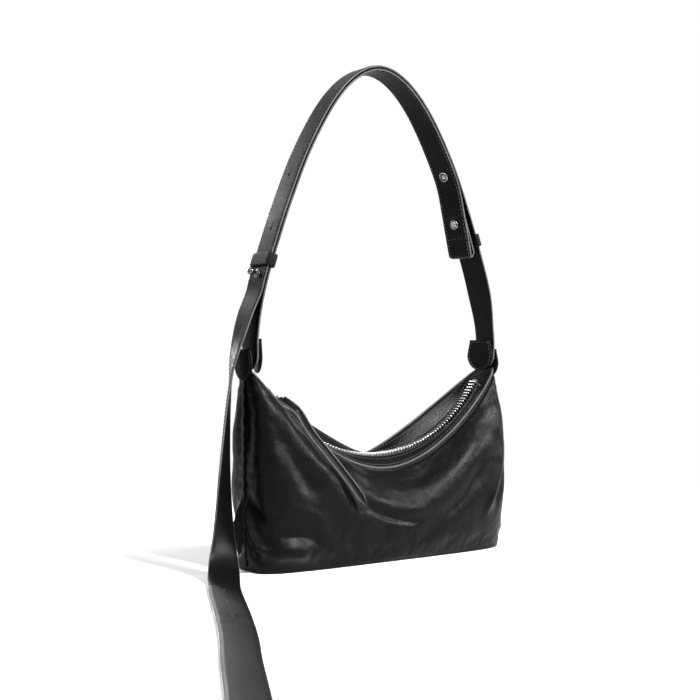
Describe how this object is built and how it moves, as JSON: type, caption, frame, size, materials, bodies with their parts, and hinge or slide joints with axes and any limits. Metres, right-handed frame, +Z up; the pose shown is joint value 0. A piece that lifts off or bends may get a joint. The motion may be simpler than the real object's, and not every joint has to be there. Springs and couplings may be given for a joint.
{
  "type": "underarm bag",
  "caption": "Soft leather crescent underarm bag with a curved zip, a long zip pull and a two-ply adjustable shoulder strap with a loose tail.",
  "frame": {"origin": "middle of the flat base, at the height of the surface it stands on", "axes": "+X along the bag towards its right end, +Y towards its back, +Z up to the top of the strap"},
  "size_m": [0.4822, 0.4062, 0.4379],
  "materials": {
    "body_leather": "soft black leather, semi-gloss with fine creases",
    "strap_leather": "smooth black leather with painted edges and edge stitching",
    "polished_metal": "polished silver",
    "zip_teeth_metal": "bright silver zip teeth",
    "lining_fabric": "black woven lining",
    "zip_tape": "black woven zip tape",
    "fibre_board": "stiff fibre board"
  },
  "bodies": {
    "bag": {"back_facing": "body_leather", "back_lining": "lining_fabric", "back_panel": "body_leather", "back_zip_tape": "zip_tape", "back_zip_teeth": "zip_teeth_metal", "base_board": "fibre_board", "front_facing": "body_leather", "front_lining": "lining_fabric", "front_panel": "body_leather", "front_zip_tape": "zip_tape", "front_zip_teeth": "zip_teeth_metal", "inner_pocket": "lining_fabric", "left_anchor_plate": "fibre_board", "left_inner_tab": "strap_leather", "left_outer_tab": "strap_leather", "pocket_hem": "strap_leather", "right_anchor_plate": "fibre_board", "right_inner_tab": "strap_leather", "right_outer_tab": "strap_leather", "strap_tail": "strap_leather", "zip_left_stop": "polished_metal", "zip_right_stop": "polished_metal"},
    "strap": {"outer_strap": "strap_leather", "inner_strap": "strap_leather", "strap_stud": "polished_metal", "stud_screw": "polished_metal", "fold_screw": "polished_metal", "disc_stud": "polished_metal"},
    "left_keeper": {"left_keeper": "strap_leather"},
    "right_keeper": {"right_keeper": "strap_leather"},
    "slider": {"zip_slider": "polished_metal"},
    "ring": {"zip_pull_ring": "polished_metal"},
    "pull": {"zip_pull": "strap_leather"}
  },
  "joints": [
    {"name": "zip_travel", "type": "hinge", "parent": "bag", "child": "slider", "pos_m": [0, 0, 0.23], "axis": [0, -1, 0], "range_deg": [0, 100]},
    {"name": "ring_turn", "type": "hinge", "parent": "slider", "child": "ring", "pos_m": [-0.10311, 0, 0.14349], "axis": [0, -1, 0], "range_deg": [-170, 10]},
    {"name": "pull_lift", "type": "hinge", "parent": "ring", "child": "pull", "pos_m": [-0.10311, -0.0096, 0.14349], "axis": [-0.829, 0, -0.5592], "range_deg": [0, 90]},
    {"name": "strap_fold", "type": "hinge", "parent": "bag", "child": "strap", "pos_m": [0, 0, 0.1813], "axis": [1, 0, 0], "range_deg": [-85, 85], "deforming": ["strap_tail"]},
    {"name": "left_keeper_slide", "type": "slide", "parent": "strap", "child": "left_keeper", "axis": [0.3198, 0, 0.9475], "range_m": [0, 0.012]},
    {"name": "right_keeper_slide", "type": "slide", "parent": "strap", "child": "right_keeper", "axis": [-0.3366, 0, 0.9417], "range_m": [-0.01, 0]}
  ],
  "couplings": [
    {"joint": "ring_turn", "follows": "zip_travel", "ratio": -1.68},
    {"joint": "pull_lift", "follows": "zip_travel", "ratio": 0.9}
  ]
}
